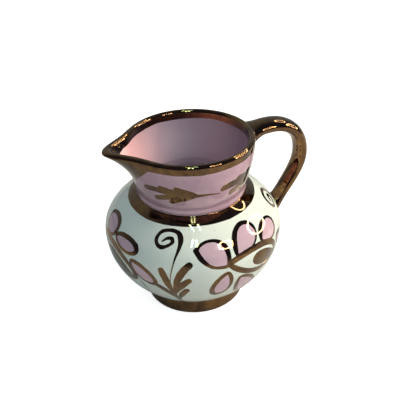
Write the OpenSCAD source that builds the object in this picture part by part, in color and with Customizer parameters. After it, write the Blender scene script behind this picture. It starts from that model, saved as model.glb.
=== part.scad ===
// Lustred cream jug: a round belly on a foot ring, a flaring neck drawn out into a pouring lip,
// and a strap handle luted on with slip at the rim and at the belly.
// Z is up, the foot stands on Z = 0 round the origin, the spout points along -X, the handle along +X.

/* [Belly] */
// Diameter of the belly at its widest
belly_d = 80; // [66:1:100]
// Height of the widest point of the belly
belly_z = 36.4; // [33:0.2:42]
// Half height of the bowl below the widest point
belly_low = 34.9; // [30:0.2:36]
// Thickness of the fired wall
wall = 3; // [2.2:0.1:3.8]

/* [Foot] */
// Outer diameter of the foot where it stands
foot_d = 46.6; // [38:0.2:56]
// Width of the ring that the jug stands on
foot_w = 3.8; // [3:0.1:5]
// How far the foot draws in under the belly
foot_taper = 0.7; // [0:0.1:1.5]
// Depth of the hollow under the base
foot_recess = 3.2; // [2.6:0.1:4]

/* [Neck] */
// Height of the neck's base above the table
neck_z = 54.8; // [51:0.2:57]
// Outer diameter of the neck at its base
neck_d = 47.4; // [38:0.2:56]
// Outer diameter of the mouth, away from the spout
mouth_d = 56; // [50:0.5:62]
// Height of the rim above the table
rim_z = 80; // [76:0.5:98]
// How far the bead round the base of the neck stands out
bead = 0.5; // [0:0.1:1]

/* [Spout] */
// How far the tip of the spout reaches past the mouth
spout_reach = 9.4; // [5:0.2:13]
// Half width of the spout, as an angle round the neck
spout_half = 14.5; // [12:0.5:24]
// How far below the rim the spout starts to swell
spout_drop = 16.5; // [12:0.5:20]

/* [Handle] */
// How far the handle stands out beyond the belly
handle_out = 16; // [14:0.2:20]
// Width of the strap at the rim, across the jug
strap_w_top = 11.2; // [9:0.2:13]
// Width of the strap at its lower end
strap_w_low = 8.2; // [7:0.2:10]
// Thickness of the strap at the rim
strap_t_top = 6.2; // [5:0.2:7.4]
// Thickness of the strap at its lower end
strap_t_low = 5; // [4.4:0.2:6.4]
// How far below the rim the middle of the strap leaves the neck
handle_drop = 3.6; // [3:0.2:6]
// How far below the rim the handle reaches out furthest
knuckle_drop = 18.2; // [15:0.2:22]
// Height of the lower joint above the table
heel_z = 34; // [28:0.5:38]
// How far the slip spreads past the strap at each joint
slip_spread = 2; // [1:0.1:3]

/* [Hidden] */

belly_r = belly_d / 2;
foot_r = foot_d / 2;
foot_top_r = foot_r - foot_taper;
neck_r = neck_d / 2;
mouth_r = mouth_d / 2;
lip_r = wall / 2;                 // the rim is rounded over the whole wall
lip_z = rim_z - lip_r;
foot_chamfer = 0.6;               // softened edges of the standing ring
spout_round = 3;                  // degrees over which the tip of the spout is rounded
spout_edge = 1.45;                // how sharply the spout's sides fall away
spout_sweep = 2.3;                // how late the spout leaves the neck on its way up
spout_in_share = 0.85;            // the channel inside is this much shallower than the outside
bead_h = 2.4;                     // height of the bead at the base of the neck

bowl_steps = 26;                  // rings down the bowl
neck_steps = 16;                  // rings up the neck
lip_steps = 8;                    // rings over the rounded rim
neck_sides = 96;                  // facets round the neck
strap_sides = 40;                 // facets round the strap
strap_steps = 48;                 // rings along the strap
slip_steps = 7;                   // rings down each slip fillet
pad_rings = 5;                    // rings of the patch where the slip lies on the pot

copper = "#6b4a22";
white = "#e6ebe0";
pink = "#c79aa6";

function sq(x) = x * x;
function mix(a, b, t) = a + (b - a) * t;

// ---- Belly: two half ellipses about the widest point. The upper one meets the neck's base. ----
belly_high = (neck_z - belly_z) / sqrt(1 - sq(neck_r / belly_r));
function bowl_r(z) = belly_r * sqrt(max(0, 1 - sq((z - belly_z) / (z > belly_z ? belly_high : belly_low))));
function bowl_low_z(r) = belly_z - belly_low * sqrt(1 - sq(r / belly_r));
// Points of an ellipse about the widest point, from one angle to another, 0 at the widest.
function arc(r, high, low, from, to, steps) =
    [for (i = [0:steps]) let (a = mix(from, to, i / steps)) [r * cos(a), belly_z + (a > 0 ? high : low) * sin(a)]];

neck_angle = acos(neck_r / belly_r);
foot_angle = -acos(foot_top_r / belly_r);
ring_in_r = foot_r - foot_w;
ring_angle = -acos(ring_in_r / belly_r);
base_angle = -asin((belly_z - foot_recess) / belly_low);
foot_join = arc(belly_r, belly_high, belly_low, foot_angle, ring_angle, 4);

in_r = belly_r - wall;
in_high = belly_high - wall;
in_low = belly_z - foot_recess - wall;
neck_in_r = neck_r - wall;
in_neck_angle = acos(neck_in_r / in_r);

// ---- Neck: a flare from base to mouth, a bead at the base, and the spout drawn out of one side. ----
neck_h = rim_z - neck_z;
function flare_r(z) = mix(neck_r, mouth_r, pow(sin(90 * min(1, (z - neck_z) / (neck_h - lip_r))), 1.35))
    + bead * sq(sin(180 * min(1, max(0, (z - neck_z) / bead_h))));
function swell(z) = pow(min(1, max(0, (z - rim_z + spout_drop) / (spout_drop - lip_r))), spout_sweep);
function pull(a) = spout_reach * exp(-pow((sqrt(sq(a) + sq(spout_round)) - spout_round) / spout_half, spout_edge));
function from_spout(a) = abs(((a % 360) + 360) % 360 - 180);
function neck_out(z, a) = flare_r(z) + swell(z) * pull(from_spout(a));
function neck_in(z, a) = flare_r(z) - wall + spout_in_share * swell(z) * pull(from_spout(a) * 1.1);

// One ring of the neck: [radius, height] at angle a for station s, going up outside, over the rim and down inside.
stations = concat(
    [for (i = [0:neck_steps]) [0, neck_z + (lip_z - neck_z) * i / neck_steps]],
    [for (i = [1:lip_steps - 1]) [1, 180 * i / lip_steps]],
    [for (i = [neck_steps:-1:0]) [2, neck_z + (lip_z - neck_z) * i / neck_steps]]);
function station_point(s, a) =
    s[0] == 0 ? [neck_out(s[1], a), s[1]] :
    s[0] == 2 ? [s[1] == neck_z ? neck_in_r : neck_in(s[1], a), s[1]] :
    let (o = neck_out(lip_z, a), i = neck_in(lip_z, a))
        [mix(i, o, (1 + cos(s[1])) / 2), lip_z + lip_r * sin(s[1])];

// ---- Handle: two cubic curves in the XZ plane, from the neck out to the knuckle and in to the belly. ----
top_z = rim_z - handle_drop;
strap_x = belly_r + handle_out - (strap_t_top + strap_t_low) / 4;
knuckle_z = rim_z - knuckle_drop;
root = [neck_out(top_z, 0), top_z];
heel = [bowl_r(heel_z), heel_z];
top_curve = [root, root + [15.6, 4.8], [strap_x, knuckle_z + 12.6], [strap_x, knuckle_z]];
low_curve = [[strap_x, knuckle_z], [strap_x, knuckle_z - 8.5], heel + [7, 13], heel];
function bezier(p, t) = pow(1 - t, 3) * p[0] + 3 * sq(1 - t) * t * p[1] + 3 * (1 - t) * sq(t) * p[2] + pow(t, 3) * p[3];
function slope(p, t) = sq(1 - t) * (p[1] - p[0]) + 2 * (1 - t) * t * (p[2] - p[1]) + sq(t) * (p[3] - p[2]);
function strap_at(u) = u < 1 ? bezier(top_curve, u) : bezier(low_curve, u - 1);
function strap_way(u) = let (d = u < 1 ? slope(top_curve, u) : slope(low_curve, u - 1)) d / norm(d);
strap_from = 0.12;                // where the strap itself starts, past the upper slip
strap_to = 1.76;                  // where it ends, before the lower slip
function half_w(u) = mix(strap_w_top, strap_w_low, u / 2) / 2;
function half_t(u) = mix(strap_t_top, strap_t_low, u / 2) / 2;
// The strap's oval at u, square to the strap.
function oval(u) = let (c = strap_at(u), d = strap_way(u), n = [-d[1], d[0]])
    [for (k = [0:strap_sides - 1]) let (a = 360 * k / strap_sides, s = half_t(u) * sin(a))
        [c[0] + n[0] * s, half_w(u) * cos(a), c[1] + n[1] * s]];

// ---- Slip: each joint spreads from a patch on the pot to the end of the strap. ----
function neck_skin(z) = z < lip_z ? neck_out(z, 0) : neck_out(lip_z, 0) - lip_r + sqrt(sq(lip_r) - sq(z - lip_z));
function on_pot(r, y, z) = [sqrt(sq(r) - sq(y)), y, z];
function on_neck(y, z) = on_pot(neck_skin(z), y, z);
function on_bowl(y, z) = on_pot(bowl_r(z), y, z);
// An oval patch on the pot, with its own half heights above and below its middle.
function patch_z(k, mid, up, down) = let (s = sin(360 * k / strap_sides)) mid + s * (s > 0 ? up : down);
function patch_y(k, half) = half * cos(360 * k / strap_sides);
rim_edge = 0.25;                  // the slip stops this far below the top of the rim
root_up = handle_drop - rim_edge;
root_down = half_t(0) + 1.6 * slip_spread;
root_half = half_w(0) + slip_spread;
heel_lean = sin(atan2(low_curve[2][0] - heel[0], low_curve[2][1] - heel[1]));
heel_up = half_t(2) / heel_lean + slip_spread;
heel_down = half_t(2) / heel_lean + 0.4 * slip_spread;
heel_half = half_w(2) + 0.8 * slip_spread;
function root_ring(s) = [for (k = [0:strap_sides - 1])
    on_neck(s * patch_y(k, root_half), patch_z(k, top_z, s * root_up, s * root_down))];
function heel_ring(s) = [for (k = [0:strap_sides - 1]) let (j = (strap_sides - k) % strap_sides)
    on_bowl(s * patch_y(k, heel_half), patch_z(j, heel_z, s * heel_up, s * heel_down))];
// Rings from a patch to the strap's end: each line leaves the pot and turns into the strap's own way.
function fillet(ring, end, way, reach) = [for (i = [1:slip_steps]) let (t = i / slip_steps)
    [for (k = [0:strap_sides - 1]) let (q = end[k] - way * reach)
        sq(1 - t) * ring[k] + 2 * (1 - t) * t * q + sq(t) * end[k]]];
function way3(u) = let (d = strap_way(u)) [d[0], 0, d[1]];

// A closed skin through a list of rings of equal length, capped with a fan at each end.
module skin_of(rings) {
    n = len(rings[0]);
    m = len(rings);
    points = [for (r = rings) each r];
    sides = [for (i = [0:m - 2], k = [0:n - 1]) let (a = i * n + k, b = i * n + (k + 1) % n)
        each [[a, b, b + n], [a, b + n, a + n]]];
    ends = [[for (k = [n - 1:-1:0]) k], [for (k = [0:n - 1]) (m - 1) * n + k]];
    polyhedron(concat(points, [for (e = [0, 1]) mean(rings[e * (m - 1)])]),
        concat(sides, [for (k = [0:n - 1]) [m * n, (k + 1) % n, k]],
            [for (k = [0:n - 1]) [m * n + 1, (m - 1) * n + k, (m - 1) * n + (k + 1) % n]]), convexity = 6);
}
function mean(list) = [for (j = [0:2]) let (c = [for (p = list) p[j]]) c * [for (p = list) 1] / len(list)];

module foot_ring() {
    color(copper) rotate_extrude($fn = 120)
        polygon(concat(
            [[ring_in_r + foot_chamfer, 0], [foot_r - foot_chamfer, 0], [foot_r, foot_chamfer]],
            foot_join,
            [[ring_in_r, foot_chamfer]]));
}

module belly() {
    color(white) rotate_extrude($fn = 120)
        polygon(concat(
            arc(belly_r, belly_high, belly_low, neck_angle, foot_angle, bowl_steps),
            [for (i = [1:len(foot_join) - 1]) foot_join[i]],
            arc(belly_r, belly_high, belly_low, mix(ring_angle, base_angle, 0.5), base_angle, 1),
            [[0, foot_recess]],
            arc(in_r, in_high, in_low, -90, in_neck_angle, bowl_steps),
            [[neck_in_r, neck_z]]));
}

module neck() {
    m = len(stations);
    points = [for (s = stations, k = [0:neck_sides - 1]) let (a = 360 * k / neck_sides, p = station_point(s, a))
        [p[0] * cos(a), p[0] * sin(a), p[1]]];
    faces = [for (i = [0:m - 1], k = [0:neck_sides - 1])
        let (a = i * neck_sides + k, b = i * neck_sides + (k + 1) % neck_sides,
            c = ((i + 1) % m) * neck_sides + (k + 1) % neck_sides, d = ((i + 1) % m) * neck_sides + k)
        each [[a, c, b], [a, d, c]]];
    color(pink) polyhedron(points, faces, convexity = 10);
}

module handle() {
    color(copper) skin_of([for (i = [0:strap_steps]) oval(mix(strap_from, strap_to, i / strap_steps))]);
}

module upper_handle_joint() {
    color(copper) skin_of(concat(
        [for (i = [1:pad_rings]) root_ring(i / pad_rings)],
        fillet(root_ring(1), oval(strap_from), way3(strap_from), 2.6)));
}

module lower_handle_joint() {
    gap = norm(strap_at(strap_to) - heel);
    color(copper) skin_of(concat(
        [for (i = [0:slip_steps - 1]) fillet(heel_ring(1), oval(strap_to), -way3(strap_to), gap * 0.55)[slip_steps - 1 - i]],
        [for (i = [0:pad_rings - 1]) heel_ring(1 - i / pad_rings)]));
}

foot_ring();
belly();
neck();
handle();
upper_handle_joint();
lower_handle_joint();
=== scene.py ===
import math
import bpy
import bmesh
import numpy as np
from mathutils import Euler, Matrix, Vector, noise as ripples


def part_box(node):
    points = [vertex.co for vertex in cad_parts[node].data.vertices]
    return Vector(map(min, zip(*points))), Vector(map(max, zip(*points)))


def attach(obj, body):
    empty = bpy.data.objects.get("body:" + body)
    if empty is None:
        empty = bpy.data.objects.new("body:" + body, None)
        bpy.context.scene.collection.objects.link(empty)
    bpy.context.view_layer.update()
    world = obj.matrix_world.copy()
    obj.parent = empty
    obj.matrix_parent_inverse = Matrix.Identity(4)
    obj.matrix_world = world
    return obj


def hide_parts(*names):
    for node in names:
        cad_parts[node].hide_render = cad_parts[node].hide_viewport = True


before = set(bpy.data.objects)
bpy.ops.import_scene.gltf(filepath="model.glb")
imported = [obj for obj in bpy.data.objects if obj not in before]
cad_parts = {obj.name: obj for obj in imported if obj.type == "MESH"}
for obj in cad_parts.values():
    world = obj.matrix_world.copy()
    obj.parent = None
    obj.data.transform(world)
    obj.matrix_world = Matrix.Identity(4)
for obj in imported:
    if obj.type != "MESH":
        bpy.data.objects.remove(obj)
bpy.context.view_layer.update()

bpy.ops.object.select_all(action="DESELECT")


# ---- Body -------------------------------------------------------------------------------------------
# One thin slip-cast porcelain wall: foot ring, round belly, flaring neck and pouring lip, fired together.
# It is spun here from its half section, and the lip is then drawn out sideways from the finished neck.
MM = 0.001
belly_low, belly_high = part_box("belly")
neck_low, neck_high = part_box("neck")
foot_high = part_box("foot_ring")[1]

belly_r = round(belly_high.x / MM, 1)
belly_mid = 36.4             # height of the widest point
bowl_depth = 34.9            # half height of the bowl under it
neck_z = belly_high.z / MM
recess_z = belly_low.z / MM
neck_r = 23.7
mouth_r = round(neck_high.y / MM, 1)
rim_z = neck_high.z / MM
foot_r = foot_high.x / MM
foot_top_r = foot_r - 0.7
ring_r = foot_r - 3.8        # inner edge of the standing ring
wall = 3.0
lip_r = wall / 2
lip_z = rim_z - lip_r
bead = 0.5
bead_h = 2.4
neck_rows = 30
spout_reach = -neck_low.x / MM - mouth_r
spout_half = 14.5            # degrees either side of the lip's middle
spout_drop = 16.5            # how far below the rim the lip starts
shoulder_h = (neck_z - belly_mid) / math.sqrt(1 - (neck_r / belly_r) ** 2)


def bowl_radius(z, r=belly_r, high=shoulder_h, low=bowl_depth):
    share = (z - belly_mid) / (high if z > belly_mid else low)
    return r * math.sqrt(max(0.0, 1 - share * share))


def flare_radius(z):
    up = min(1.0, max(0.0, (z - neck_z) / (lip_z - neck_z)))
    rise = min(1.0, max(0.0, (z - neck_z) / bead_h))
    flare = (mouth_r - neck_r) * math.sin(up * math.pi / 2) ** 1.35
    return neck_r + flare + bead * math.sin(rise * math.pi) ** 2


def swell(z):
    return min(1.0, max(0.0, (z - rim_z + spout_drop) / (spout_drop - lip_r))) ** 2.3


def pull(degrees):
    return spout_reach * math.exp(-(((math.hypot(degrees, 3) - 3) / spout_half) ** 1.45))


def from_spout(x, y):
    return abs(math.degrees(math.atan2(y, -x)))


def arc(r, high, low, start, end, steps):
    """Points of the bowl's ellipses, by angle in degrees from the widest point."""
    turns = [math.radians(start + (end - start) * i / steps) for i in range(steps + 1)]
    return [(r * math.cos(t), belly_mid + (high if t > 0 else low) * math.sin(t)) for t in turns]


def half_section():
    neck_angle = math.degrees(math.acos(neck_r / belly_r))
    foot_angle = -math.degrees(math.acos((foot_top_r + 0.9) / belly_r))
    crease = belly_mid - bowl_depth * math.sqrt(1 - (foot_top_r / belly_r) ** 2)
    under = [(r, max(recess_z, belly_mid - bowl_depth * math.sqrt(1 - (r / belly_r) ** 2)))
             for r in (0, 2, 4, 6, 8, 10, 11.5, 13, 14.5, 16, 17.5, 18.6)]
    ring = [(ring_r - 0.25, 5.3), (ring_r, 4.6), (ring_r, 2.6), (ring_r, 0.9), (ring_r + 0.15, 0.4),
            (ring_r + 0.5, 0.1), (ring_r + 1, 0), (foot_r - 1, 0), (foot_r - 0.45, 0.1), (foot_r - 0.12, 0.4),
            (foot_r, 0.9), (foot_r - 0.12, 2), (foot_r - 0.3, 3.5), (foot_r - 0.5, 5), (foot_r - 0.62, 6),
            (foot_top_r, 6.8), (foot_top_r + 0.12, crease - 0.2), (foot_top_r + 0.42, crease + 0.2)]
    bowl = arc(belly_r, shoulder_h, bowl_depth, foot_angle, neck_angle - 1, 84)
    neck = [(flare_radius(z), z) for z in
            [neck_z + (lip_z - neck_z) * (i / neck_rows) for i in range(1, neck_rows + 1)]]
    lip = [(mouth_r - lip_r + lip_r * math.cos(t), lip_z + lip_r * math.sin(t))
           for t in [math.pi * i / 28 for i in range(1, 28)]]
    inside = [(r - wall, z) for r, z in reversed(neck)]
    in_r = belly_r - wall
    in_high = shoulder_h - wall
    in_low = belly_mid - recess_z - wall
    well_angle = math.degrees(math.acos((neck_r - wall + 0.4) / in_r))
    well = arc(in_r, in_high, in_low, well_angle, -90, 60)
    return under + ring + bowl + [(neck_r, neck_z)] + neck + lip + inside, well


outer, well = half_section()
section = outer + well
body_sides = 288

bpy.ops.mesh.primitive_circle_add(vertices=len(section), radius=0.01)
body = bpy.context.object
body.name = "jug_body"
for vert, (r, z) in zip(body.data.vertices, section):
    vert.co = (r * MM, 0, z * MM)
inside_mark = body.data.attributes.new("inside", "FLOAT", "POINT")
for i in range(len(section)):
    inside_mark.data[i].value = 1.0 if i >= len(outer) - neck_rows else 0.0
bpy.ops.object.mode_set(mode="EDIT")
bpy.ops.mesh.select_mode(type="EDGE")
bpy.ops.mesh.select_all(action="DESELECT")
shape = bmesh.from_edit_mesh(body.data)
for edge in shape.edges:
    edge.select_set(all(v.co.x < 1e-7 for v in edge.verts))
bpy.ops.mesh.delete(type="EDGE")
bpy.ops.mesh.select_all(action="SELECT")
bpy.ops.mesh.spin(steps=body_sides, angle=2 * math.pi, center=(0, 0, 0), axis=(0, 0, 1))
bpy.ops.mesh.select_mode(type="VERT")
bpy.ops.mesh.select_all(action="SELECT")
bpy.ops.mesh.remove_doubles(threshold=1e-6)
bpy.ops.mesh.normals_make_consistent(inside=False)
bpy.ops.object.mode_set(mode="OBJECT")
for vert in body.data.vertices:
    x, y, z = vert.co / MM
    r = math.hypot(x, y)
    if z > rim_z - spout_drop and r > 1:
        height = min(z, lip_z)
        across = min(1.0, max(0.0, (r - flare_radius(height) + wall) / wall))
        turn = from_spout(x, y)
        drawn = 0.85 * pull(turn * 1.1) * (1 - across) + pull(turn) * across
        grow = 1 + swell(height) * drawn / r
        vert.co = (x * grow * MM, y * grow * MM, z * MM)
bpy.ops.object.shade_smooth()


def add(tree, kind, inputs=None, **settings):
    """Adds a shader node, with its settings, and sets or links its inputs by name or number."""
    made = tree.nodes.new("ShaderNode" + kind)
    for key, value in settings.items():
        setattr(made, key, value)
    for key, value in (inputs or {}).items():
        if isinstance(value, bpy.types.NodeSocket):
            tree.links.new(value, made.inputs[key])
        else:
            made.inputs[key].default_value = value
    return made


def maths(tree, operation, *values):
    return add(tree, "Math", dict(enumerate(values)), operation=operation).outputs[0]


def blend_colour(tree, share, first, second):
    made = add(tree, "Mix", data_type="RGBA")
    for slot, value in ((0, share), (6, first), (7, second)):
        if isinstance(value, bpy.types.NodeSocket):
            tree.links.new(value, made.inputs[slot])
        else:
            made.inputs[slot].default_value = value
    return made.outputs[2]


def without(tree, value):
    return maths(tree, "SUBTRACT", 1.0, value)


def blend_value(tree, share, first, second):
    return maths(tree, "ADD", maths(tree, "MULTIPLY", share, second),
                 maths(tree, "MULTIPLY", without(tree, share), first))


def noise(tree, where, scale, detail=3.0, roughness=0.5, distortion=0.0):
    return add(tree, "TexNoise", {"Vector": where, "Scale": scale, "Detail": detail, "Roughness": roughness,
                                  "Distortion": distortion}).outputs["Fac"]


def step(tree, value, low, high):
    """0 under low, 1 over high, smooth between them."""
    return add(tree, "MapRange", {"Value": value, "From Min": low, "From Max": high},
               interpolation_type="SMOOTHSTEP").outputs[0]


def new_group(name, inputs, outputs):
    group = bpy.data.node_groups.new(name, "ShaderNodeTree")
    for label, kind in inputs:
        group.interface.new_socket(label, in_out="INPUT", socket_type="NodeSocket" + kind)
    for label, kind in outputs:
        group.interface.new_socket(label, in_out="OUTPUT", socket_type="NodeSocket" + kind)
    start = group.nodes.new("NodeGroupInput")
    end = group.nodes.new("NodeGroupOutput")
    return group, start.outputs, end.inputs


def use_group(tree, group, where):
    made = tree.nodes.new("ShaderNodeGroup")
    made.node_tree = group
    tree.links.new(where, made.inputs[0])
    return made.outputs


# Glaze: clear and glassy over the white body, a little uneven, with a few pin holes and iron specks.
glaze, here, out = new_group("white_glaze", [("Place", "Vector")],
                             [("Colour", "Color"), ("Roughness", "Float"), ("Height", "Float")])
clouds = noise(glaze, here[0], 45.0, 2.0, 0.5)
tint = blend_colour(glaze, step(glaze, clouds, 0.3, 0.7), (0.80, 0.83, 0.77, 1), (0.86, 0.87, 0.80, 1))
specks = step(glaze, noise(glaze, here[0], 900.0, 0.0), 0.84, 0.88)
spread = step(glaze, noise(glaze, here[0], 130.0, 1.0), 0.55, 0.7)
specks = maths(glaze, "MULTIPLY", specks, spread)
tint = blend_colour(glaze, maths(glaze, "MULTIPLY", specks, 0.5), tint, (0.30, 0.24, 0.18, 1))
glaze.links.new(tint, out[0])
rough = blend_value(glaze, step(glaze, noise(glaze, here[0], 220.0, 4.0, 0.6), 0.35, 0.75), 0.03, 0.06)
glaze.links.new(rough, out[1])
skin = maths(glaze, "MULTIPLY", noise(glaze, here[0], 110.0, 1.0), 0.000010)
skin = maths(glaze, "SUBTRACT", skin, maths(glaze, "MULTIPLY", specks, 0.00002))
glaze.links.new(skin, out[2])

# Pink lustre: a thin purple-of-gold wash brushed over the glaze, cloudy, with fine broken bubbles in it.
wash, here, out = new_group("pink_lustre", [("Place", "Vector")],
                            [("Colour", "Color"), ("Roughness", "Float"), ("Height", "Float")])
clouds = noise(wash, here[0], 90.0, 4.0, 0.6, 0.4)
strokes = add(wash, "Mapping", {"Vector": here[0], "Scale": (1.0, 1.0, 7.0)}).outputs[0]
brushed = noise(wash, strokes, 70.0, 3.0, 0.55)
tint = blend_colour(wash, step(wash, clouds, 0.32, 0.68), (0.56, 0.33, 0.42, 1), (0.67, 0.42, 0.50, 1))
tint = blend_colour(wash, maths(wash, "MULTIPLY", step(wash, brushed, 0.45, 0.75), 0.30),
                    tint, (0.70, 0.47, 0.54, 1))
bubbles = step(wash, noise(wash, here[0], 1300.0, 1.0), 0.68, 0.78)
tint = blend_colour(wash, maths(wash, "MULTIPLY", bubbles, 0.22), tint, (0.80, 0.62, 0.60, 1))
wash.links.new(tint, out[0])
wash.links.new(blend_value(wash, step(wash, clouds, 0.3, 0.7), 0.06, 0.10), out[1])
wash.links.new(maths(wash, "MULTIPLY", noise(wash, here[0], 110.0, 1.0), 0.000008), out[2])

# Copper lustre: a metal film fired on the glaze, deep brown and mirror bright, mottled where it lies thin.
copper, here, out = new_group("copper_lustre", [("Place", "Vector")],
                              [("Colour", "Color"), ("Roughness", "Float"), ("Height", "Float")])
clouds = noise(copper, here[0], 110.0, 5.0, 0.62, 0.6)
fine = noise(copper, here[0], 520.0, 3.0, 0.6)
tint = blend_colour(copper, step(copper, clouds, 0.30, 0.70),
                    (0.092, 0.042, 0.022, 1), (0.245, 0.120, 0.038, 1))
tint = blend_colour(copper, maths(copper, "MULTIPLY", step(copper, fine, 0.50, 0.72), 0.55),
                    tint, (0.31, 0.16, 0.060, 1))
worn = step(copper, noise(copper, here[0], 1400.0, 1.0), 0.74, 0.80)
tint = blend_colour(copper, maths(copper, "MULTIPLY", worn, 0.5), tint, (0.42, 0.27, 0.13, 1))
copper.links.new(tint, out[0])
rough = blend_value(copper, step(copper, clouds, 0.35, 0.75), 0.03, 0.07)
copper.links.new(maths(copper, "ADD", rough, maths(copper, "MULTIPLY", worn, 0.10)), out[1])
copper.links.new(maths(copper, "MULTIPLY", noise(copper, here[0], 70.0, 0.0), 0.000006), out[2])


def painted_edge(tree, height, line, wobble, soft=0.00010):
    """1 above a hand-painted line, 0 below it."""
    edge = maths(tree, "ADD", line, wobble)
    over = maths(tree, "SUBTRACT", height, edge)
    return step(tree, over, -soft, soft)


rim_line_z = 0.0762          # lower edge of the copper on the outside of the rim, in metres
rim_inside_z = 0.0761
spout_dip = 0.0150           # how far it runs down in a point under the lip
spout_dip_half = 36.5        # half the width of that point where it starts, in degrees
band_z = 0.0526              # lower edge of the copper round the shoulder
foot_line_z = 0.0080         # upper edge of the copper on the foot, which ends between these underneath
foot_inside_r = (0.0196, 0.0200)
lit_wash_turn = (22, 92)        # painted light and shade: the wash inside is painted lighter and warm by the lip and darker away from it, by degrees
shaded_wash_turn = (20, 108)
COPPER_SKIN = 0.5            # weight of the clear skin over the copper

body_finish = bpy.data.materials.new("painted_porcelain")
body_finish.use_nodes = True
tree = body_finish.node_tree
shader = tree.nodes["Principled BSDF"]
place = add(tree, "TexCoord").outputs["Object"]
x, y, z = add(tree, "SeparateXYZ", {0: place}).outputs
inside = add(tree, "Attribute", attribute_name="inside").outputs["Fac"]
inner = step(tree, inside, 0.4, 0.6)
wobble = maths(tree, "MULTIPLY", maths(tree, "SUBTRACT", noise(tree, place, 85.0, 2.0), 0.5), 0.0012)
turn = maths(tree, "ABSOLUTE", maths(tree, "ARCTAN2", y, maths(tree, "MULTIPLY", x, -1.0)))
dip = without(tree, maths(tree, "DIVIDE", turn, math.radians(spout_dip_half)))
dip = maths(tree, "MULTIPLY", maths(tree, "MAXIMUM", dip, 0.0), spout_dip)
rim_outside = painted_edge(tree, z, maths(tree, "SUBTRACT", rim_line_z, dip), wobble)
rim_inside = painted_edge(tree, z, rim_inside_z, wobble)
rim_band = blend_value(tree, inner, rim_outside, rim_inside)
neck_zone = painted_edge(tree, z, neck_z * MM + 0.0002, 0.0)
pink_zone = maths(tree, "MAXIMUM", neck_zone, inner)
shoulder_band = painted_edge(tree, z, band_z, maths(tree, "MULTIPLY", wobble, 0.35), 0.00006)
shoulder_band = maths(tree, "MULTIPLY", shoulder_band, without(tree, pink_zone))
out_r = maths(tree, "ADD", maths(tree, "MULTIPLY", x, x), maths(tree, "MULTIPLY", y, y))
out_r = maths(tree, "SQRT", out_r)
foot_zone = without(tree, painted_edge(tree, z, foot_line_z, maths(tree, "MULTIPLY", wobble, 0.4)))
foot_zone = maths(tree, "MULTIPLY", foot_zone, step(tree, out_r, *foot_inside_r))
foot_zone = maths(tree, "MULTIPLY", foot_zone, without(tree, inner))
copper_zone = maths(tree, "MAXIMUM", rim_band, maths(tree, "MAXIMUM", shoulder_band, foot_zone))
white_out = use_group(tree, glaze, place)
pink_out = use_group(tree, wash, place)
copper_out = use_group(tree, copper, place)
# Painted light and shade inside: the pink wash is painted peach by the lip and darker grey mauve away from
# it.
away = step(tree, turn, *[math.radians(t) for t in shaded_wash_turn])
painted_shade_inside = maths(tree, "MULTIPLY", inner, maths(tree, "ADD", maths(tree, "MULTIPLY", away, 0.88), 0.05))
painted_light_by_lip = without(tree, step(tree, turn, *[math.radians(t) for t in lit_wash_turn]))
painted_light_by_lip = maths(tree, "MULTIPLY", inner, painted_light_by_lip)
wash_with_painted_light = blend_colour(tree, painted_light_by_lip, pink_out[0], (0.90, 0.50, 0.53, 1))
wash_with_painted_light = blend_colour(tree, painted_shade_inside, wash_with_painted_light, (0.37, 0.31, 0.40, 1))
colour = blend_colour(tree, pink_zone, white_out[0], wash_with_painted_light)
# Painted shade: the copper inside the rim is mixed towards near black.
copper_shade_share = maths(tree, "MULTIPLY", inner, 0.45)
shaded_copper = blend_colour(tree, copper_shade_share, copper_out[0], (0.045, 0.024, 0.022, 1))
colour = blend_colour(tree, copper_zone, colour, shaded_copper)
rough = maths(tree, "ADD", pink_out[1], maths(tree, "MULTIPLY", inner, 0.34))
rough = blend_value(tree, pink_zone, white_out[1], rough)
rough = blend_value(tree, copper_zone, rough, copper_out[1])
film = maths(tree, "ADD", copper_zone, maths(tree, "MULTIPLY", pink_zone, 0.15))
film = maths(tree, "MINIMUM", film, 1.0)
height = blend_value(tree, pink_zone, white_out[2], pink_out[2])
height = blend_value(tree, copper_zone, height, copper_out[2])
tree.links.new(colour, shader.inputs["Base Color"])
tree.links.new(rough, shader.inputs["Roughness"])
tree.links.new(film, shader.inputs["Metallic"])
bump = add(tree, "Bump", {"Height": height, "Strength": 0.6, "Distance": 1.0})
tree.links.new(bump.outputs[0], shader.inputs["Normal"])
tree.links.new(maths(tree, "MULTIPLY", copper_zone, COPPER_SKIN), shader.inputs["Coat Weight"])
shader.inputs["Coat Roughness"].default_value = 0.02
shader.inputs["IOR"].default_value = 1.52
body.data.materials.append(body_finish)
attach(body, "root")
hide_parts("foot_ring", "belly", "neck")


# ---- Handle -----------------------------------------------------------------------------------------
# A flattened porcelain strap, wider at the rim than at the belly, luted on with slip that is wiped into
# a soft fillet at each end. It is copper lustred all over.
strap_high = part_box("handle")[1]
strap_w = (11.2, 8.2)
strap_t = (6.2, 5.0)
knuckle = (strap_high.x / MM - (strap_t[0] + strap_t[1]) / 4, rim_z - 18.2)
root = (flare_radius(rim_z - 3.6), rim_z - 3.6)
heel = (bowl_radius(34.0), 34.0)
heel_way = (7, 13)           # how the strap comes in to the belly, out and up
top_curve = [Vector(p) for p in
             (root, (root[0] + 15.6, root[1] + 4.8), (knuckle[0], knuckle[1] + 12.6), knuckle)]
low_curve = [Vector(p) for p in
             (knuckle, (knuckle[0], knuckle[1] - 8.5), (heel[0] + heel_way[0], heel[1] + heel_way[1]), heel)]
strap_from = 0.12            # where along the two curves the bare strap starts and ends
strap_to = 1.76
slip = 2.0                   # how far the slip spreads past the strap
cap, root_end, heel_start = 0.03, 0.15, 0.83     # shares of the skin: end caps, fillets and strap


def along(u):
    """The strap's middle line and its way at u, in the plane of the handle."""
    p, t = (top_curve, u) if u < 1 else (low_curve, u - 1)
    s = 1 - t
    at = p[0] * s ** 3 + p[1] * 3 * s * s * t + p[2] * 3 * s * t * t + p[3] * t ** 3
    way = (p[1] - p[0]) * s * s + (p[2] - p[1]) * 2 * s * t + (p[3] - p[2]) * t * t
    return at, way.normalized()


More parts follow.
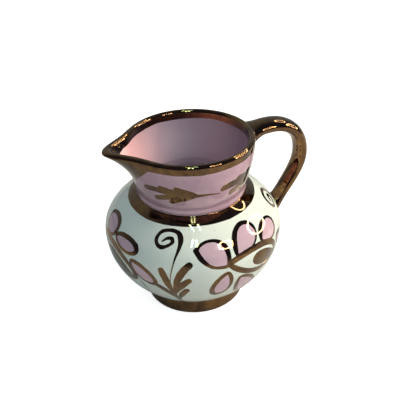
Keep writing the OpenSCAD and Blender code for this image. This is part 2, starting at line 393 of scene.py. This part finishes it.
def oval(u, turn):
    at, way = along(u)
    half_w = (strap_w[0] + (strap_w[1] - strap_w[0]) * u / 2) / 2
    half_t = (strap_t[0] + (strap_t[1] - strap_t[0]) * u / 2) / 2
    off = half_t * math.sin(turn)
    return Vector((at.x - way.y * off, half_w * math.cos(turn), at.y + way.x * off))


def neck_skin(z):
    if z < lip_z:
        return flare_radius(z)
    return mouth_r - lip_r + math.sqrt(max(0.0, lip_r ** 2 - (z - lip_z) ** 2))


def on_pot(skin, y, z, sunk):
    r = skin(z) - sunk
    return Vector((math.sqrt(r * r - y * y), y, z))


def root_patch(turn, share, sunk=0.04):
    half_w = strap_w[0] / 2 + slip
    half_h = 3.35 if math.sin(turn) > 0 else strap_t[0] / 2 + 1.6 * slip
    return on_pot(neck_skin, share * half_w * math.cos(turn), root[1] + share * half_h * math.sin(turn), sunk)


def heel_patch(turn, share, sunk=0.04):
    lean = math.sin(math.atan2(*heel_way))
    half_w = strap_w[1] / 2 + 0.8 * slip
    half_h = strap_t[1] / 2 / lean + (0.4 if math.sin(turn) > 0 else 1.0) * slip
    up = heel[1] - share * half_h * math.sin(turn)
    return on_pot(bowl_radius, share * half_w * math.cos(turn), up, sunk)


def fillet(ring, end, way, reach, t):
    bend = end - way * reach
    return ring * (1 - t) ** 2 + bend * 2 * t * (1 - t) + end * t * t


def handle_point(around, length):
    """The handle's skin: cap, fillet, strap, fillet, cap, by turn round it and share of its length."""
    turn = 2 * math.pi * around
    deep = 0.6 - 0.56 * min(length, 1 - length) / cap
    if length < cap:
        return root_patch(turn, length / cap, deep)
    if length > 1 - cap:
        return heel_patch(turn, (1 - length) / cap, deep)
    if length < root_end:
        way = along(strap_from)[1]
        return fillet(root_patch(turn, 1), oval(strap_from, turn), Vector((way.x, 0, way.y)), 2.6,
                      (length - cap) / (root_end - cap))
    if length > heel_start:
        at, way = along(strap_to)
        reach = (at - Vector(heel)).length * 0.55
        return fillet(heel_patch(turn, 1), oval(strap_to, turn), -Vector((way.x, 0, way.y)), reach,
                      (1 - cap - length) / (1 - cap - heel_start))
    return oval(strap_from + (strap_to - strap_from) * (length - root_end) / (heel_start - root_end), turn)


def skin_piece(name, around, rows, point):
    """A closed skin: a flat grid is rolled up and bent by point(), and its seam and ends are merged."""
    bpy.ops.mesh.primitive_grid_add(x_subdivisions=around, y_subdivisions=rows, size=1)
    piece = bpy.context.object
    piece.name = name
    for vert in piece.data.vertices:
        vert.co = point(vert.co.x + 0.5, vert.co.y + 0.5) * MM
    bpy.ops.object.mode_set(mode="EDIT")
    bpy.ops.mesh.select_all(action="SELECT")
    bpy.ops.mesh.remove_doubles(threshold=2e-7)
    bpy.ops.mesh.normals_make_consistent(inside=False)
    bpy.ops.object.mode_set(mode="OBJECT")
    bpy.ops.object.shade_smooth()
    return piece


handle = skin_piece("handle_strap", 56, 150, handle_point)
lustre_finish = bpy.data.materials.new("copper_lustre")
lustre_finish.use_nodes = True
tree = lustre_finish.node_tree
shader = tree.nodes["Principled BSDF"]
copper_out = use_group(tree, copper, add(tree, "TexCoord").outputs["Object"])
tree.links.new(copper_out[0], shader.inputs["Base Color"])
tree.links.new(copper_out[1], shader.inputs["Roughness"])
bump = add(tree, "Bump", {"Height": copper_out[2], "Strength": 0.6, "Distance": 1.0})
tree.links.new(bump.outputs[0], shader.inputs["Normal"])
shader.inputs["Metallic"].default_value = 1.0
shader.inputs["Coat Weight"].default_value = COPPER_SKIN
shader.inputs["Coat Roughness"].default_value = 0.02
handle.data.materials.append(lustre_finish)
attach(handle, "root")
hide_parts("handle", "upper_handle_joint", "lower_handle_joint")


# ---- Scrolls and fronds -----------------------------------------------------------------------------
# Copper lustre brushed on by hand and fired: a stem that curls over at its top, with a frond at its foot.
# Each brush mark is a thin raised film that follows the wall, so it is a skin of its own.
FILM = 0.04                  # how far a copper mark stands off the glaze, in mm
BURIED = 0.05                # how far its underside is sunk in the wall
EDGE = 60                    # how square a mark's edge is


def wall_map(radius, low, high):
    """Gives the length up the wall for a height, the radius for a length, and a point off the wall."""
    heights = np.linspace(low, high, 700)
    radii = np.array([radius(h) for h in heights])
    lengths = np.concatenate([[0.0], np.cumsum(np.hypot(np.diff(heights), np.diff(radii)))])
    slopes = np.gradient(radii, heights)

    def length_up(h):
        return float(np.interp(h, heights, lengths))

    def radius_for(length):
        return float(np.interp(length, lengths, radii))

    def off_wall(turn, length, off):
        h = float(np.interp(length, lengths, heights))
        slope = float(np.interp(length, lengths, slopes))
        steep = math.sqrt(1 + slope * slope)
        drawn = swell(h) * pull(from_spout(math.cos(turn), math.sin(turn)))
        r = radius_for(length) + drawn + off / steep
        return Vector((r * math.cos(turn), r * math.sin(turn), h - off * slope / steep))

    return length_up, radius_for, off_wall


on_belly = wall_map(bowl_radius, 8.4, neck_z - 0.2)


def on_pot_at(wall, spot, across, up, off):
    """The point across and up the wall, in mm, from spot, which is a turn in degrees and a height."""
    length_up, radius_for, off_wall = wall
    length = length_up(spot[1]) + up
    return off_wall(math.radians(spot[0]) + across / radius_for(length), length, off)


def through(stops):
    """A smooth line through the stops."""
    stops = [Vector(stop) for stop in stops]
    spans = len(stops) - 1

    def line(t):
        t = min(max(t, 0.0), 1.0) * spans
        i = min(int(t), spans - 1)
        s = t - i
        a, b, c, d = [stops[min(max(i + k, 0), spans)] for k in (-1, 0, 1, 2)]
        return 0.5 * (2 * b + (c - a) * s + (2 * a - 5 * b + 4 * c - d) * s * s
                      + (3 * b - a - 3 * c + d) * s ** 3)

    return line


def crisp(mark):
    """Keeps a mark's top as smooth as the glaze under it, with a plain edge."""
    bpy.ops.object.shade_smooth_by_angle(angle=math.radians(25))
    return mark


def brush(name, wall, spot, line, half_width, rows=60, flip=1):
    """One brush mark along a line on the wall, with its own half width at each share of the way."""
    def point(around, share):
        along = share - math.sin(2 * math.pi * share) / (2 * math.pi) * 0.8
        ahead = line(along + 0.002) - line(along - 0.002)
        ahead.normalize()
        middle = line(along)
        hand = 1 + 0.10 * ripples.noise(Vector((middle.x * 0.7 + spot[0], middle.y * 0.7, 3.0)))
        half = half_width(along) * hand
        side = math.cos(2 * math.pi * around)
        rise = (1 - side ** EDGE) * min(1.0, half / 0.25) if around < 0.5 else 0.0
        x = middle.x - ahead.y * half * side
        y = middle.y + ahead.x * half * side
        return on_pot_at(wall, spot, flip * x, y, rise * (FILM + BURIED) - BURIED)

    return crisp(skin_piece(name, 20, rows, point))


def tapered(widths, start=0.02, end=None):
    """Half widths at even steps along a mark, run smoothly together, with rounded ends."""
    run = through([(w, 0) for w in widths])
    end = end or start

    def half(t):
        short = max(0.0, 1 - t / start, 1 - (1 - t) / end)
        return max(0.0, run(t).x) * math.sqrt(max(0.0, 1 - min(1.0, short) ** 2))

    return half


def joined(name, marks, finish):
    """Makes one piece of the marks, gives it its finish, and sets it on the pot."""
    bpy.ops.object.select_all(action="DESELECT")
    for mark in marks:
        mark.select_set(True)
    bpy.context.view_layer.objects.active = marks[0]
    if len(marks) > 1:
        bpy.ops.object.join()
    marks[0].name = name
    marks[0].data.materials.clear()
    marks[0].data.materials.append(finish)
    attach(marks[0], "root")
    bpy.ops.object.select_all(action="DESELECT")


curl = through([(3.2, -14.5), (4.5, -8.0), (5.8, -2.2), (5.6, 1.2), (3.9, 3.8), (0.5, 4.5), (-2.9, 3.2),
                (-4.4, 0.2), (-3.8, -2.1), (-1.8, -3.1), (0.7, -2.2), (2.5, -0.5), (1.9, 1.0), (0.0, 0.8),
                (-2.0, -0.9)])
curl_width = tapered([0.20, 0.36, 0.85, 1.15, 0.95, 0.85, 0.78, 0.80, 0.88, 0.92, 0.72, 0.80, 0.85, 0.72,
                      0.30], 0.012)
stalk = through([(2.2, -29.0), (2.6, -20.0), (3.2, -14.0)])
for name, spot, flip in (("scroll_left", (-126.5, 48.9), 1), ("scroll_back", (129.0, 48.9), 1),
                         ("scroll_handle_near", (-19.8, 47.4), 1), ("scroll_handle_far", (19.8, 47.4), -1)):
    marks = [brush("mark", on_belly, spot, curl, curl_width, 170, flip),
             brush("mark", on_belly, spot, stalk, tapered([0.26, 0.20, 0.22]), 24, flip)]
    joined(name, marks, lustre_finish)

leaves = [((-0.6, -2.0), (-2.4, 8.0), (-5.9, 15.8), 1.65), ((0.8, -6.0), (-2.6, 2.8), (-8.6, 5.9), 1.40),
          ((-0.7, -1.0), (0.0, 13.4), (7.4, 18.6), 1.70), ((-0.4, 0.0), (1.4, 7.0), (7.0, 11.0), 1.60),
          ((0.8, -7.0), (1.2, 1.2), (5.7, 4.9), 1.45)]


def leaf_mark(wall, spot, base, bend, tip, wide, widths, flip=1):
    """A leaf: one press of a full brush that starts thin and ends round."""
    base, bend, tip = Vector(base), Vector(bend), Vector(tip)
    line = through([base * (1 - t) ** 2 + bend * 2 * t * (1 - t) + tip * t * t
                    for t in (0, 0.2, 0.4, 0.6, 0.8, 1)])
    half_width = tapered([w * wide for w in widths], 0.04, wide / (tip - base).length)
    return brush("mark", wall, spot, line, half_width, 48, flip)


for name, turn in (("frond_left", -120.0), ("frond_back", 135.5)):
    marks = []
    for base, bend, tip, wide in leaves:
        marks.append(leaf_mark(on_belly, (turn, 24.0), base, bend, tip, wide,
                               (0.22, 0.38, 0.60, 0.84, 1.0, 1.0, 0.94, 0.78)))
    stem = through([(-0.6, 1.0), (0.3, -5.0), (1.6, -10.5), (2.6, -15.0)])
    marks.append(brush("mark", on_belly, (turn, 24.0), stem, tapered([0.7, 0.75, 0.5, 0.35]), 30))
    joined(name, marks, lustre_finish)


# ---- Flowers ----------------------------------------------------------------------------------------
# Six loose petals round a bare leaf shape with a solid drop in it. The petals are a pink wash, drawn round
# with a copper line that swells and thins as the brush is pressed. It is painted on the front and the back,
# and with slimmer petals under the lip.
petal_finish = bpy.data.materials.new("pink_lustre")
petal_finish.use_nodes = True
tree = petal_finish.node_tree
shader = tree.nodes["Principled BSDF"]
pink_out = use_group(tree, wash, add(tree, "TexCoord").outputs["Object"])
tree.links.new(blend_colour(tree, 0.32, pink_out[0], (1.0, 0.75, 0.84, 1)), shader.inputs["Base Color"])
tree.links.new(pink_out[1], shader.inputs["Roughness"])
bump = add(tree, "Bump", {"Height": pink_out[2], "Strength": 0.6, "Distance": 1.0})
tree.links.new(bump.outputs[0], shader.inputs["Normal"])
shader.inputs["Metallic"].default_value = 0.15
WASH_FILM = 0.018
BOLD = 1.22                  # how heavily the lines are pressed


def petal_outline(half_long, half_wide, lean, point):
    """An egg whose narrow end looks towards lean, in degrees; point runs from 0, round, to 0.5, sharp."""
    widest = -point / (1 + point)
    most = math.sqrt(1 - widest ** 2) * ((1 - widest) / 2) ** point
    lean = math.radians(lean)

    def outline(t):
        turn = 2 * math.pi * t
        x = half_long * math.cos(turn)
        y = half_wide * math.sin(turn) * ((1 - math.cos(turn)) / 2) ** point / most
        return Vector((x * math.cos(lean) - y * math.sin(lean), x * math.sin(lean) + y * math.cos(lean)))

    return outline


def free_outline(stops):
    """An outline through the stops, with a corner at the first one."""
    line = through(stops + stops[:1])
    return lambda t: line(t % 1.0)


def flooded(name, wall, spot, outline, film):
    """A patch of colour that fills an outline."""
    def point(around, across):
        edge = outline(around)
        share = across * 2 if across < 0.5 else (1 - across) * 2
        reach = math.sin(share * math.pi / 2)
        off = -BURIED if across <= 0.5 else (1 - reach ** EDGE) * (film + BURIED) - BURIED
        return on_pot_at(wall, spot, edge.x * reach, edge.y * reach, off)

    return crisp(skin_piece(name, 64, 24, point))


def drawn_round(name, wall, spot, outline, widths):
    """A copper line round an outline, from its narrow end back to it; widths are even steps round it."""
    widths = [w * BOLD for w in widths]
    half_width = tapered(widths + [widths[0]], 0.01)
    return brush(name, wall, spot, lambda t: outline(t * 1.03 - 0.015), half_width, 110)


# place (turn, height), outline, half widths of the line round it
petal_a = ((-96.0, 44.0), free_outline([(-6.6, 2.7), (-4.6, -1.2), (-1.2, -4.4), (2.8, -5.5), (6.1, -5.2),
                                        (6.6, -0.8), (5.3, 3.3), (2.2, 5.8), (-1.5, 6.1), (-4.6, 4.8)]),
           (0.95, 0.90, 0.62, 0.60, 0.75, 0.90, 0.85, 0.62, 0.52, 0.60))
petal_b = ((-72.0, 46.1), petal_outline(7.5, 5.1, 220, 0.32), (0.55, 0.38, 0.42, 0.72, 0.85, 1.00))
petal_c = ((-50.2, 43.9), petal_outline(6.5, 4.4, 192, 0.20), (0.55, 0.42, 0.40, 0.50, 0.55, 1.05))
petal_d = ((-90.7, 28.9), petal_outline(6.9, 3.9, 72, 0.22), (0.60, 0.90, 0.95, 0.85, 0.55, 0.80))
petal_e = ((-73.4, 23.8), petal_outline(8.0, 4.7, 118, 0.22), (0.60, 0.85, 0.75, 0.60, 0.65, 0.75))
petal_f = ((-34.6, 33.8), petal_outline(7.0, 3.3, 145, 0.12), (0.60, 0.40, 0.45, 0.85, 0.90, 0.85))
spout_a = ((-100.5, 36.5), petal_outline(6.3, 4.4, 185, 0.20), (0.85, 1.00, 0.70, 0.42, 0.85, 0.80))
spout_b = ((-72.0, 45.6), petal_outline(6.2, 4.2, 165, 0.15), (0.60, 0.45, 0.50, 0.80, 0.95, 0.80))
spout_c = ((-50.0, 43.3), petal_outline(7.1, 3.0, 176, 0.10), (0.55, 0.60, 0.65, 0.95, 0.95, 0.80))
spout_d = ((-87.0, 26.6), petal_outline(6.0, 3.6, 80, 0.20), (0.60, 0.90, 0.95, 0.85, 0.55, 0.80))
bloom = ((petal_a, petal_b, petal_c, petal_d, petal_e, petal_f),
         ((-66.4, 36.1), petal_outline(14.3, 6.0, 167, 0.35)),
         ((-57.4, 34.2), petal_outline(9.4, 3.8, -20, 0.36)))
spout_bloom = ((spout_a, spout_b, spout_c, spout_d, petal_e, petal_f),
               ((-60.5, 34.6), petal_outline(14.3, 5.4, 160, 0.32)),
               ((-56.0, 32.6), petal_outline(9.5, 3.9, -20, 0.34)))
for name, turn, (petals, leaf, drop) in (("flower_front", 0, bloom), ("flower_back", 146.5, bloom),
                                         ("flower_spout", -106.5, spout_bloom)):
    washes = []
    lines = []
    for spot, outline, widths in petals:
        spot = (spot[0] + turn, spot[1])
        washes.append(flooded("wash", on_belly, spot, outline, WASH_FILM))
        lines.append(drawn_round("line", on_belly, spot, outline, widths))
    spot = (leaf[0][0] + turn, leaf[0][1])
    lines.append(drawn_round("line", on_belly, spot, leaf[1], (0.85, 1.15, 1.15, 1.1, 1.15, 1.2)))
    spot = (drop[0][0] + turn, drop[0][1])
    lines.append(flooded("line", on_belly, spot, drop[1], FILM))
    stem = through([(12.6, -3.0), (15.6, -6.5), (16.6, -11.0), (16.6, -17.0), (16.2, -24.0)])
    spot = (leaf[0][0] + turn, leaf[0][1])
    lines.append(brush("line", on_belly, spot, stem, tapered([0.5, 0.34, 0.24, 0.20, 0.24]), 40))
    joined(name + "_petals", washes, petal_finish)
    joined(name + "_lines", lines, lustre_finish)


# ---- Neck sprigs ------------------------------------------------------------------------------------
# A leafy sprig in copper lustre over the pink wash, painted twice on each side of the neck, its leaves
# towards the lip. A sprig is five fat leaves and a stem that thins to a hair where the next one starts.
on_neck = wall_map(flare_radius, neck_z + 0.3, rim_z - spout_drop + 9.0)
sprig_z = 66.0
sprig = [((0.8, 0.3), (-6.6, 2.9), (-13.4, 0.8), 1.45), ((4.6, 0.5), (-1.0, 2.6), (-5.8, 3.4), 1.35),
         ((10.0, 0.5), (5.4, 2.0), (1.0, 4.2), 1.30), ((3.6, -0.1), (-3.0, -1.6), (-8.4, -3.2), 1.35),
         ((10.0, 0.0), (4.4, -1.4), (-1.8, -4.2), 1.30)]
for name, turn, flip, heft in (("neck_sprig_1", -124.6, 1, 1.0), ("neck_sprig_2", -52.4, 1, 1.25),
                               ("neck_sprig_3", 52.4, -1, 1.25), ("neck_sprig_4", 124.6, -1, 1.0)):
    marks = []
    for base, bend, tip, wide in sprig:
        marks.append(leaf_mark(on_neck, (turn, sprig_z), base, bend, tip, wide * heft,
                               (0.30, 0.85, 1.0, 1.0, 1.0, 0.95, 0.80), flip))
    stem = through([(-3.0, 0.2), (1.5, 0.1), (6.0, 0.0), (11.0, -0.1), (15.5, -0.3), (19.5, -1.0)])
    stem_width = tapered([0.9, 1.6, 1.35, 0.78, 0.46, 0.26])
    marks.append(brush("mark", on_neck, (turn, sprig_z), stem, stem_width, 50, flip))
    joined(name, marks, lustre_finish)


# ---- Floor and light --------------------------------------------------------------------------------
# A plain pale table in a dim room. Three ring lamps and two pairs of tubes show in the glaze, and give no
# other light; four broad soft lamps that don't show in it light the jug and the table.
bpy.ops.mesh.primitive_plane_add(size=6, location=(0, 0, 0))
floor = bpy.context.object
floor.name = "floor"
paper = bpy.data.materials.new("pale_floor")
paper.use_nodes = True
tree = paper.node_tree
shader = tree.nodes["Principled BSDF"]
place = add(tree, "TexCoord").outputs["Object"]
grain = noise(tree, place, 60.0, 4.0)
tint = blend_colour(tree, grain, (0.56, 0.56, 0.56, 1), (0.60, 0.60, 0.60, 1))
tree.links.new(tint, shader.inputs["Base Color"])
shader.inputs["Roughness"].default_value = 0.9
shader.inputs["Specular IOR Level"].default_value = 0.1
shader.inputs["Emission Color"].default_value = (1, 1, 1, 1)
lit = maths(tree, "MULTIPLY", add(tree, "LightPath").outputs["Is Camera Ray"], 0.85)
tree.links.new(lit, shader.inputs["Emission Strength"])
floor.data.materials.append(paper)


def towards(turn, rise, away):
    """The place at this turn and rise, in degrees, and this far from the shoulder that faces the lamps."""
    flat = math.cos(math.radians(rise)) * away
    return Vector((flat * math.cos(math.radians(turn)), flat * math.sin(math.radians(turn)),
                   math.sin(math.radians(rise)) * away)) + shoulder


def ring_lamp(name, place, radius, thick, radiance, colour, tilt):
    """A glowing ring tube that faces the jug, tipped back by tilt, and isn't seen by the camera itself."""
    tip_back = Euler((math.radians(tilt), 0, 0)).to_quaternion()
    facing = ((shoulder - place).to_track_quat("-Z", "Y") @ tip_back).to_euler()
    bpy.ops.mesh.primitive_torus_add(major_radius=radius, minor_radius=thick, major_segments=72,
                                     minor_segments=12, location=place, rotation=facing)
    tube = bpy.context.object
    tube.name = name
    glow = bpy.data.materials.new(name)
    glow.use_nodes = True
    shader = glow.node_tree.nodes["Principled BSDF"]
    shader.inputs["Base Color"].default_value = (0, 0, 0, 1)
    shader.inputs["Emission Color"].default_value = (*colour, 1)
    shader.inputs["Emission Strength"].default_value = radiance
    tube.data.materials.append(glow)
    tube.visible_camera = False
    tube.visible_shadow = False
    tube.visible_diffuse = False


def lamp(name, place, aim, size, radiance, colour, height=None, seen=True):
    """A flat lamp of this width and height that is either seen in the glaze or lights the scene."""
    data = bpy.data.lights.new(name, "AREA")
    data.shape = "RECTANGLE"
    data.size = size
    data.size_y = height or size
    data.energy = radiance * math.pi * size * (height or size)
    data.color = colour
    made = bpy.data.objects.new(name, data)
    bpy.context.collection.objects.link(made)
    made.location = place
    made.rotation_euler = (Vector(aim) - Vector(place)).to_track_quat("-Z", "Y").to_euler()
    made.visible_glossy = seen
    made.visible_diffuse = not seen
    made.visible_camera = False
    return made


shoulder = Vector((0.018, -0.029, 0.047))
lamp_away = 0.6
tube_long = 0.16
warm = (1.0, 0.93, 0.72)
cool = (0.50, 1.0, 0.84)
for name, turn, rise, radius, thick, glow, tilt in (("side", -7, 26, 0.140, 0.010, 32.0, 0),
                                                    ("front", -63, 39, 0.086, 0.008, 34.0, 0),
                                                    ("far", 30, 47, 0.105, 0.007, 16.0, 45)):
    ring_lamp("ring_lamp_" + name, towards(turn, rise, lamp_away), radius, thick, glow, warm, tilt)
for i, turn in enumerate((-115.0, -107.0)):
    lamp("tube_front_%d" % i, towards(turn, 56.5, lamp_away), shoulder, 0.020, 34.0, cool, tube_long)
for i, side in enumerate((-0.034, 0.034)):
    overhead = shoulder + Vector((side - 0.025, -0.05, lamp_away))
    tube = lamp("tube_over_%d" % i, overhead, shoulder, 0.014, 22.0, cool, tube_long)
    tube.rotation_euler = (0, 0, 0)
belly_at = (0, 0, 0.03)
lamp("broad_cool", (-0.06, -0.48, 0.62), belly_at, 0.3, 3.4, (0.50, 0.95, 1.0), seen=False)
lamp("broad_side", (0.75, -0.15, 0.75), belly_at, 0.7, 6.8, warm, seen=False)
lamp("broad_front", (0.28, -0.56, 0.52), belly_at, 0.5, 2.5, (1.0, 0.97, 0.86), seen=False)
lamp("broad_back", (0.12, 0.78, 0.50), belly_at, 0.6, 2.2, (0.95, 1.0, 0.95), seen=False)
world = bpy.data.worlds.new("room")
world.use_nodes = True
bpy.context.scene.world = world
tree = world.node_tree
back = tree.nodes["Background"]
way = add(tree, "SeparateXYZ", {0: add(tree, "TexCoord").outputs["Generated"]}).outputs
ceiling = step(tree, way[2], 0.00, 0.14)
upper = blend_colour(tree, step(tree, way[1], 0.05, 0.70), (0.045, 0.055, 0.10, 1), (0.26, 0.30, 0.30, 1))
walls = blend_colour(tree, step(tree, way[0], -0.7, 0.2), (0.17, 0.18, 0.17, 1), (0.29, 0.28, 0.27, 1))
dim = blend_colour(tree, ceiling, walls, upper)
backdrop = add(tree, "LightPath").outputs["Is Camera Ray"]
tree.links.new(blend_colour(tree, backdrop, dim, (0.93, 0.93, 0.93, 1)), back.inputs[0])
back.inputs[1].default_value = 1.0


# ---- Camera -----------------------------------------------------------------------------------------
# A look down at the jug from a little to the spout's side of square on, close in and leaning a touch.
# The view transform is the plain one, so that the colours come out as they were mixed.
aim = Vector((3.44, -1.33, 47.27)) * MM
camera_turn = math.radians(-18.5)
camera_rise = math.radians(32.91)
camera_lean = math.radians(-1.95)
camera_away = 0.259
back_way = Vector((math.sin(camera_turn) * math.cos(camera_rise),
                   -math.cos(camera_turn) * math.cos(camera_rise), math.sin(camera_rise)))
camera_data = bpy.data.cameras.new("camera")
camera_data.sensor_width = 36
camera_data.lens = 51.6
camera_data.clip_start = 0.01
camera = bpy.data.objects.new("camera", camera_data)
bpy.context.collection.objects.link(camera)
camera.location = aim + back_way * camera_away
facing = (-back_way).to_track_quat("-Z", "Y").to_matrix().to_4x4()
camera.matrix_world = Matrix.Translation(camera.location) @ facing @ Matrix.Rotation(camera_lean, 4, "Z")
bpy.context.scene.camera = camera
bpy.context.scene.view_settings.view_transform = "Standard"
